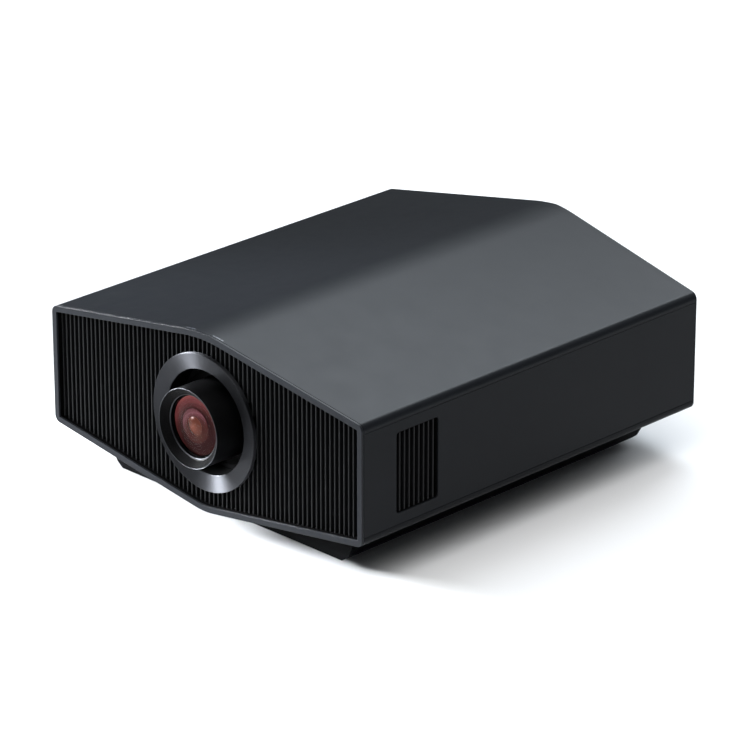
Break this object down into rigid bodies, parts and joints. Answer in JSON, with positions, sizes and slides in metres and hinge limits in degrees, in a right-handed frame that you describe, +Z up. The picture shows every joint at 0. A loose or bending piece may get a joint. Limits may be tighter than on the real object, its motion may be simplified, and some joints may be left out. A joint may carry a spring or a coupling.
{
  "type": "home projector",
  "caption": "Home projector with a six-sided finned front, a central shifting zoom lens in a dished metal ring, side and rear vents, a black plinth and screw feet.",
  "frame": {"origin": "centre of the footprint at floor level", "axes": "+Z up; the lens looks along -Y; +X is the side panel with the vent, on the right when facing the lens side"},
  "size_m": [0.46, 0.5516, 0.2168],
  "materials": {
    "case_shell": "satin charcoal metallic paint",
    "rim": "satin charcoal metallic paint, slightly lighter",
    "grille": "fine matt black",
    "surround": "spun, fine circular grain",
    "well": "matt black, light absorbing",
    "plinth": "fine textured black",
    "foot": "matt",
    "light_pipe": "frosted clear",
    "connector_plate": "fine textured black",
    "connector_shell": "nickel plated",
    "jack": "moulded",
    "inlet": "moulded",
    "button": "satin",
    "chassis": "zinc plated sheet",
    "board": "solder resist",
    "supply": "caged module",
    "engine": "die cast alloy",
    "sink": "extruded",
    "prism_glass": "polished",
    "panel_part": "moulded holder",
    "fan": "moulded",
    "carriage": "die cast",
    "motor": "plated can",
    "screw_steel": "bright",
    "barrel": "black anodised",
    "lens_glass": "multi-coated",
    "insert": "turned"
  },
  "bodies": {
    "root": {"upper_case": "case_shell", "lower_case": "case_shell", "side_panel_right": "case_shell", "side_panel_left": "case_shell", "rear_panel": "case_shell", "front_bezel": "rim", "front_grille": "grille", "lens_surround_ring": "surround", "lens_well": "well", "base_plinth": "plinth", "side_vent_grille": "grille", "rear_vent_grille": "grille", "indicator_lights": "light_pipe", "terminal_plate": "connector_plate", "hdmi_sockets": "connector_shell", "usb_socket": "connector_shell", "lan_socket": "connector_shell", "serial_socket": "connector_shell", "trigger_jacks": "jack", "power_inlet": "inlet", "control_plate": "connector_plate", "chassis_plate": "chassis", "main_board": "board", "power_supply": "supply", "optical_housing": "engine", "prism_block": "prism_glass", "imaging_panels": "panel_part", "light_source": "engine", "heat_sink": "sink", "fan_frames": "fan", "lens_mount": "carriage", "vertical_motor": "motor", "rear_feet": "foot", "mount_inserts": "insert"},
    "lift": {"vertical_carriage": "carriage", "horizontal_motor": "motor"},
    "shift": {"horizontal_carriage": "carriage", "lens_barrel": "barrel", "rear_lens": "lens_glass"},
    "front_cell": {"front_group": "barrel", "front_lens": "lens_glass"},
    "focus_ring": {"focus_ring": "barrel"},
    "zoom_ring": {"zoom_ring": "barrel"},
    "vertical_screw": {"vertical_screw": "screw_steel"},
    "horizontal_screw": {"horizontal_screw": "screw_steel"},
    "impeller_left": {"impeller_left": "fan"},
    "impeller_right": {"impeller_right": "fan"},
    "foot_pad_left": {"foot_pad_left": "foot"},
    "foot_pad_right": {"foot_pad_right": "foot"},
    "foot_stem_left": {"foot_stem_left": "screw_steel"},
    "foot_stem_right": {"foot_stem_right": "screw_steel"},
    "power_button": {"power_button": "button"},
    "input_button": {"input_button": "button"},
    "menu_button": {"menu_button": "button"},
    "enter_button": {"enter_button": "button"},
    "up_button": {"up_button": "button"},
    "down_button": {"down_button": "button"},
    "left_button": {"left_button": "button"},
    "right_button": {"right_button": "button"}
  },
  "joints": [
    {"name": "lens_lift", "type": "slide", "parent": "root", "child": "lift", "axis": [0, 0, 1], "range_m": [-0.0065, 0.0065]},
    {"name": "vertical_screw_turn", "type": "hinge", "parent": "root", "child": "vertical_screw", "pos_m": [0.102, -0.14615, 0.1175], "axis": [0, 0, 1], "range_deg": [-1180, 1180]},
    {"name": "lens_shift", "type": "slide", "parent": "lift", "child": "shift", "axis": [1, 0, 0], "range_m": [-0.0049, 0.0049]},
    {"name": "horizontal_screw_turn", "type": "hinge", "parent": "lift", "child": "horizontal_screw", "pos_m": [0, -0.15615, 0.0725], "axis": [1, 0, 0], "range_deg": [-890, 890]},
    {"name": "focus_slide", "type": "slide", "parent": "shift", "child": "front_cell", "axis": [0, -1, 0], "range_m": [-0.0011, 0.0011]},
    {"name": "focus_turn", "type": "hinge", "parent": "shift", "child": "focus_ring", "pos_m": [0, -0.21515, 0.1175], "axis": [0, -1, 0], "range_deg": [-61, 61]},
    {"name": "zoom_turn", "type": "hinge", "parent": "shift", "child": "zoom_ring", "pos_m": [0, -0.18915, 0.1175], "axis": [0, -1, 0], "range_deg": [-45, 45]},
    {"name": "fan_left_spin", "type": "hinge", "parent": "root", "child": "impeller_left", "pos_m": [-0.09, 0.23185, 0.104], "axis": [0, -1, 0], "continuous": true},
    {"name": "fan_right_spin", "type": "hinge", "parent": "root", "child": "impeller_right", "pos_m": [0.09, 0.23185, 0.104], "axis": [0, -1, 0], "continuous": true},
    {"name": "foot_left_raise", "type": "slide", "parent": "root", "child": "foot_pad_left", "axis": [0, 0, -1], "range_m": [0, 0.015]},
    {"name": "foot_left_turn", "type": "hinge", "parent": "foot_pad_left", "child": "foot_stem_left", "pos_m": [-0.135, -0.18015, 0.003], "axis": [0, 0, -1], "range_deg": [-5, 3605]},
    {"name": "foot_right_raise", "type": "slide", "parent": "root", "child": "foot_pad_right", "axis": [0, 0, -1], "range_m": [0, 0.015]},
    {"name": "foot_right_turn", "type": "hinge", "parent": "foot_pad_right", "child": "foot_stem_right", "pos_m": [0.135, -0.18015, 0.003], "axis": [0, 0, -1], "range_deg": [-5, 3605]},
    {"name": "power_button_press", "type": "slide", "parent": "root", "child": "power_button", "axis": [1, 0, 0], "range_m": [0, 0.0008], "stiffness_N_per_m": 400, "springref_m": -0.002},
    {"name": "input_button_press", "type": "slide", "parent": "root", "child": "input_button", "axis": [1, 0, 0], "range_m": [0, 0.0008], "stiffness_N_per_m": 400, "springref_m": -0.002},
    {"name": "menu_button_press", "type": "slide", "parent": "root", "child": "menu_button", "axis": [1, 0, 0], "range_m": [0, 0.0008], "stiffness_N_per_m": 400, "springref_m": -0.002},
    {"name": "enter_button_press", "type": "slide", "parent": "root", "child": "enter_button", "axis": [1, 0, 0], "range_m": [0, 0.0008], "stiffness_N_per_m": 400, "springref_m": -0.002},
    {"name": "up_button_press", "type": "slide", "parent": "root", "child": "up_button", "axis": [1, 0, 0], "range_m": [0, 0.0008], "stiffness_N_per_m": 400, "springref_m": -0.002},
    {"name": "down_button_press", "type": "slide", "parent": "root", "child": "down_button", "axis": [1, 0, 0], "range_m": [0, 0.0008], "stiffness_N_per_m": 400, "springref_m": -0.002},
    {"name": "left_button_press", "type": "slide", "parent": "root", "child": "left_button", "axis": [1, 0, 0], "range_m": [0, 0.0008], "stiffness_N_per_m": 400, "springref_m": -0.002},
    {"name": "right_button_press", "type": "slide", "parent": "root", "child": "right_button", "axis": [1, 0, 0], "range_m": [0, 0.0008], "stiffness_N_per_m": 400, "springref_m": -0.002}
  ],
  "couplings": [
    {"joint": "vertical_screw_turn", "follows": "lens_lift", "rad_per_m": 3141.6},
    {"joint": "horizontal_screw_turn", "follows": "lens_shift", "rad_per_m": 3141.6},
    {"joint": "focus_turn", "follows": "focus_slide", "rad_per_m": 950},
    {"joint": "foot_left_turn", "follows": "foot_left_raise", "rad_per_m": 4188.8},
    {"joint": "foot_right_turn", "follows": "foot_right_raise", "rad_per_m": 4188.8}
  ]
}
